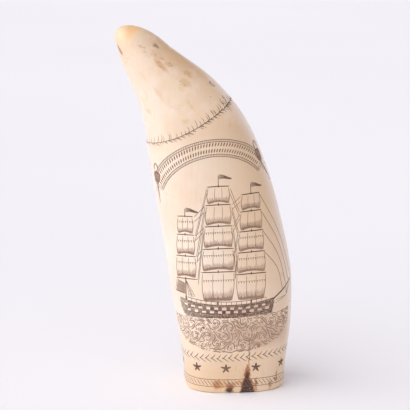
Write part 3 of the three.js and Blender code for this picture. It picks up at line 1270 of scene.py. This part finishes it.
# Stains: place, reach round it and up, colour, strength.
STAINS = (
    (6.0, 26.6, 23.0, 8.0, (192, 160, 138), 0.66), (4.0, 37.0, 16.0, 3.0, (196, 168, 152), 0.55),
    (-8.9, 3.9, 2.1, 2.3, (178, 112, 54), 0.9), (-6.6, 4.2, 3.6, 1.6, (214, 158, 106), 0.6),
    (-3.8, 1.7, 2.1, 1.9, (70, 36, 14), 1.0), (-3.6, 3.4, 2.3, 1.6, (160, 88, 40), 0.8),
    (-0.6, 4.6, 3.2, 1.2, (200, 136, 88), 0.6), (7.7, 4.6, 0.9, 2.6, (140, 84, 40), 0.8),
    (7.9, 1.8, 1.0, 1.3, (170, 110, 60), 0.6), (14.2, 3.2, 0.8, 2.2, (150, 96, 52), 0.7),
    (17.5, 6.4, 0.5, 3.4, (178, 96, 44), 0.8), (17.3, 5.2, 1.3, 0.9, (120, 62, 28), 0.7),
    (4.8, 19.6, 0.4, 5.4, (176, 132, 98), 0.4), (4.2, 14.2, 0.4, 1.8, (186, 128, 80), 0.5),
    (-12.6, 145.4, 1.5, 2.4, (158, 96, 66), 0.85),
    (5.9, 147.4, 1.0, 1.4, (138, 100, 72), 0.7), (3.2, 143.8, 2.6, 2.6, (218, 182, 144), 0.6),
    (1.0, 139.6, 1.6, 3.6, (212, 162, 112), 0.75), (5.0, 139.8, 2.6, 1.5, (204, 172, 136), 0.5),
    (9.4, 136.0, 2.2, 1.8, (202, 156, 104), 0.65), (4.8, 132.6, 2.6, 2.4, (218, 180, 130), 0.7),
    (2.2, 130.4, 2.2, 2.2, (232, 200, 156), 0.6), (1.4, 123.4, 1.0, 2.8, (228, 190, 146), 0.6),
    (-4.6, 120.6, 2.6, 1.6, (236, 206, 170), 0.55), (-4.6, 116.8, 2.2, 1.4, (226, 190, 146), 0.6),
    (-8.8, 128.2, 1.5, 3.4, (232, 200, 170), 0.65), (-10.6, 134.7, 1.2, 2.4, (236, 204, 172), 0.5),
    (-19.4, 120.4, 2.2, 1.8, (236, 204, 164), 0.65), (8.6, 120.6, 1.4, 1.2, (206, 164, 118), 0.6),
    (16.6, 131.2, 1.6, 1.2, (164, 120, 88), 0.5), (17.6, 122.4, 1.6, 2.6, (170, 130, 98), 0.4),
    (2.0, 8.4, 1.4, 4.6, (216, 176, 130), 0.4), (10.4, 9.4, 1.2, 4.2, (222, 186, 144), 0.35),
    (52.0, 2.4, 3.6, 2.2, (176, 112, 60), 0.7), (-41.0, 3.0, 2.2, 3.2, (190, 130, 74), 0.6),
    (39.0, 60.0, 4.0, 9.0, (222, 192, 152), 0.5), (-52.0, 96.0, 5.0, 7.0, (226, 196, 158), 0.5),
)
STAIN_EDGE = (1.15, 0.35)  # shares of a stain's reach between which it fades in
# The noises that fray the stains' edges: scale, and how far each moves them.
FRAYS = ((900.0, 2.2), (260.0, 3.4))
WEDGE_MIDDLE, WEDGE_TOP, WEDGE_SPREAD = 4.0, 12.9, 0.28
IVORY_LIGHT, IVORY_WARM = (247, 229, 210), (240, 214, 186)
# The cap's colours: the pale one on its left is partly a painted highlight, the yellow one on its right
# is its own.
CAP_PALE_AND_HIGHLIT, CAP_YELLOW = (240, 214, 176), (240, 190, 126)
CAP_SLOPE = 0.54  # how far the edge of the tip's cap climbs in each millimetre towards +X
CAP_EDGE, CAP_FRAY = (166.0, 170.5), 5.0
IVORY_FINISH = {
    "Subsurface Weight": 0.18,
    "Subsurface Radius": (1.0, 0.6, 0.35),
    "Subsurface Scale": 0.003,
    "IOR": 1.54,
    "Coat Weight": 0.12,
    "Coat Roughness": 0.28,
}


def ivory_tints_and_painted_light(shader, solid, turned, height, back):
    """The tints of the bare ivory, by arc round, height and how far back: its own colours, with painted
    shade to the right and painted reflections at both sides.
    """
    # The arc jumps at the back from one end to the other, so the tints that follow it fade there.
    ahead = back.ramp(9.0, 1.0)
    # The painted shade on the right: its strength by height, and how far round it reaches, shifted near
    # the tip.
    strength = height.ramp(20.0, 105.0) * 0.35 + 0.55
    painted_shade = turned * (height.ramp(125.0, 148.0) * 0.9 + 1.0) - height.ramp(112.0, 122.0) * 9.0
    painted_shade = painted_shade + height.ramp(130.0, 142.0) * 8.0
    # where the painted reflection at the right edge lies, reaching further near the tip
    reflected_rim = turned * (height.ramp(90.0, 130.0) * 0.35 + 1.0)
    low = height.ramp(32.0, 4.0) * turned.ramp(14.0, -4.0)
    high = height.ramp(108.0, 122.0)
    grain = shader.noise(shader.scaled(solid, (900.0, 900.0, 50.0)), 1.0, 3.0, 0.6)
    speckle = shader.noise(solid, 2600.0, 2.0, 0.5)
    patches = shader.noise(solid, 150.0, 4.0, 0.6)
    return (
        # painted shade: browner to the right, turned away from the light on the left, and more so near
        # the tip
        (painted_shade.ramp(-18.0, 24.0) * strength * ahead, (215, 181, 144)),
        (painted_shade.ramp(4.0, 24.0) * height.ramp(128.0, 140.0) * ahead * 0.5, (206, 160, 106)),
        # painted reflections of the bright surroundings: pale at both sides
        (turned.ramp(-18.0, -36.0) * ahead * 0.6, (250, 238, 230)),
        (reflected_rim.ramp(20.0, 31.0) * ahead * 0.6, (250, 238, 232)),
        # warm low on the left
        (low * ahead * 0.75, (222, 188, 150)),
        # grain and speckles everywhere, and patches above the banner
        (grain.ramp(0.4, 0.75) * 0.16, (222, 192, 152)),
        (speckle.ramp(0.62, 0.75) * 0.16, (190, 150, 110)),
        (high * patches.ramp(0.5, 0.66) * 0.25, (232, 198, 154)),
        (high * patches.ramp(0.5, 0.36) * 0.22, (250, 232, 218)),
        # the root end's edge, and at the back an even brownness in place of the painted shade that fades
        # there
        (height.ramp(4.0, 0.5) * 0.3, (240, 214, 174)),
        (back.ramp(1.0, 9.0) * 0.35, (226, 194, 156)),
    )


def frayed(shader, place, solid):
    """A place moved about by noise, which frays the edges of what is painted by it."""
    for scale, reach in FRAYS:
        drift = shader.noise(solid, scale, 3.0, 0.6, output=1)
        place = shader.scaled(drift, (reach, reach, 0), place)
    middle = -sum(reach for _, reach in FRAYS) / 2
    return shader.scaled(place, (1, 1, 1), (middle, middle, 0))


def stain_tint(shader, place, stain):
    s, z, wide, tall, colour, strength = stain
    offset = shader.scaled(place, (1 / wide, 1 / tall, 0), (-s / wide, -z / tall, 0))
    reach = shader.add("ShaderNodeVectorMath", {0: offset}, 1, operation="LENGTH")
    return reach.ramp(*STAIN_EDGE) * strength, colour


def wedge_tints(shader, unrolled, ragged):
    """The brown wedge that runs up from the root end, rusty at its edges and flecked at its foot."""
    across, up, _ = shader.split(ragged)
    streaks = shader.noise(shader.scaled(unrolled, (2.4, 0.4, 1)), 1.0, 4.0, 0.7)
    flecks = shader.noise(unrolled, 1.7, 2.0, 0.5)
    half = (up * -1.0 + WEDGE_TOP) * WEDGE_SPREAD
    within = half - (across - WEDGE_MIDDLE).maths("ABSOLUTE") + (streaks - 0.5) * 1.2
    return (
        (within.ramp(-0.6, 0.25) * 0.9, (164, 98, 46)),
        (within.ramp(0.25, 0.7) * up.ramp(10.6, 7.8) * 0.96, (66, 36, 22)),
        (flecks.ramp(0.62, 0.68) * within.ramp(0.5, 1.4) * up.ramp(3.6, 2.0), (206, 190, 172)),
    )


def root_tints(height):
    """The duller and browner root end and pulp cavity, whose heights run on below zero."""
    return (
        (height.ramp(-0.3, -2.0) * 0.6, (206, 172, 124)),
        (height.ramp(-8.0, -40.0) * 0.8, (120, 84, 56)),
    )


def ivory_material():
    shader = Shader("ivory")
    unrolled = shader.add("ShaderNodeUVMap", {}, uv_map="Unrolled")
    solid = shader.add("ShaderNodeTexCoord", {}, "Object")
    turned, height, _ = shader.split(unrolled)
    along, back = (axis * (1 / MM) for axis in shader.split(solid)[:2])
    ragged = frayed(shader, unrolled, solid)
    clouds = shader.noise(solid, 42.0, 3.0, 0.5)
    colour = shader.mix(clouds.ramp(0.35, 0.7), srgb(*IVORY_LIGHT), srgb(*IVORY_WARM))
    colour = shader.layered(colour, ivory_tints_and_painted_light(shader, solid, turned, height, back))
    colour = shader.layered(colour, [stain_tint(shader, ragged, stain) for stain in STAINS])
    colour = shader.layered(colour, wedge_tints(shader, unrolled, ragged))
    # The tip is worn to a yellow translucent cap; its paler left part is partly a painted highlight of
    # the light from the left.
    rise = height - along * CAP_SLOPE + (clouds - 0.5) * CAP_FRAY
    cap = shader.mix(along.ramp(-35.0, -31.0), srgb(*CAP_PALE_AND_HIGHLIT), srgb(*CAP_YELLOW))
    colour = shader.mix(rise.ramp(*CAP_EDGE) * 0.85, colour, cap)
    colour = shader.layered(colour, root_tints(height))
    wear = shader.noise(solid, 120.0, 4.0, 0.6)
    roughness = wear.ramp(0.3, 0.7) * 0.12 + 0.27 + height.ramp(0.0, -2.0) * 0.3
    relief = shader.noise(solid, 700.0, 4.0, 0.6) * 0.5 + wear * 0.8
    bump = shader.add("ShaderNodeBump", {"Strength": 0.14, "Distance": 0.0006, "Height": relief})
    inputs = {"Base Color": colour, "Roughness": roughness, "Normal": bump}
    return shader.finish(inputs | IVORY_FINISH)


def ink_material():
    shader = Shader("ink")
    tone = shader.add("ShaderNodeAttribute", {}, "Fac", attribute_name="ink")
    ramp = shader.tree.nodes.new("ShaderNodeValToRGB")
    shader.feed(ramp.inputs[0], tone)
    set_stops(ramp, INK_COLOURS)
    colour = Field(shader, ramp.outputs[0])
    return shader.finish({"Base Color": colour, "Roughness": tone * 0.2 + 0.4})


engraved.data.materials.append(ivory_material())
engraved.data.materials.append(ink_material())
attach(engraved, "root")
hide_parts("tooth")

# ---------------- floor, light and camera

# Turns are from straight ahead and rises above the floor, in degrees. The floor's half width and
# the camera's near limit are metres.
CAMERA_TURN, CAMERA_RISE, CAMERA_DISTANCE = -5.5, 12.5, 750
CAMERA_LENS, CAMERA_SENSOR, CAMERA_NEAR = 155.6, 36, 0.01
AIM = Vector((0.3, 0.0, 78.4))
KEY_TURN, KEY_RISE, KEY_STRENGTH, KEY_WIDTH = -68, 39, 1.9, 84
FLOOR_HALF, FLOOR_COLOURS = 6.0, ((249, 247, 251), (251, 249, 253))
# The sky: height and colour of the backdrop near the horizon and of the dimmer ceiling.
SKY = ((0.12, (250, 248, 253)), (0.3, (199, 197, 201)))


def direction(turn, rise):
    turn, rise = math.radians(turn), math.radians(rise)
    level = math.cos(rise)
    return Vector((math.sin(turn) * level, -math.cos(turn) * level, math.sin(rise)))


def floor_material():
    """A matt surface whose colour drifts a little."""
    shader = Shader("floor")
    drift = shader.noise(shader.add("ShaderNodeTexCoord", {}, "Object"), 2.0)
    colour = shader.mix(drift.ramp(0.3, 0.7), *[srgb(*colour) for colour in FLOOR_COLOURS])
    return shader.finish({"Base Color": colour, "Roughness": drift * 0.1 + 0.7})


def add_floor():
    ways = ((-1, -1), (1, -1), (1, 1), (-1, 1))
    mesh = bpy.data.meshes.new("floor")
    mesh.from_pydata([(x * FLOOR_HALF, y * FLOOR_HALF, 0) for x, y in ways], [], [(0, 1, 2, 3)])
    mesh.materials.append(floor_material())
    floor = add_object("floor", mesh)


def add_key_light():
    """A wide distant light."""
    data = bpy.data.lights.new("key", "SUN")
    data.energy, data.angle = KEY_STRENGTH, math.radians(KEY_WIDTH)
    light = add_object("key", data)
    light.rotation_euler = direction(KEY_TURN, KEY_RISE).to_track_quat("Z", "Y").to_euler()


def add_world():
    world = bpy.data.worlds.new("studio")
    world.use_nodes = True
    tree = world.node_tree
    place = tree.nodes.new("ShaderNodeTexCoord")
    parts = tree.nodes.new("ShaderNodeSeparateXYZ")
    ramp = tree.nodes.new("ShaderNodeValToRGB")
    set_stops(ramp, SKY)
    tree.links.new(place.outputs["Generated"], parts.inputs[0])
    tree.links.new(parts.outputs[2], ramp.inputs[0])
    tree.links.new(ramp.outputs[0], tree.nodes["Background"].inputs["Color"])
    bpy.context.scene.world = world


def add_camera():
    data = bpy.data.cameras.new("camera")
    data.lens, data.sensor_width, data.clip_start = CAMERA_LENS, CAMERA_SENSOR, CAMERA_NEAR
    camera = add_object("camera", data)
    away = direction(CAMERA_TURN, CAMERA_RISE)
    camera.location = (AIM + away * CAMERA_DISTANCE) * MM
    camera.rotation_euler = (-away).to_track_quat("-Z", "Y").to_euler()
    bpy.context.scene.camera = camera


add_floor()
add_key_light()
add_world()
add_camera()
bpy.context.scene.view_settings.view_transform = "Standard"
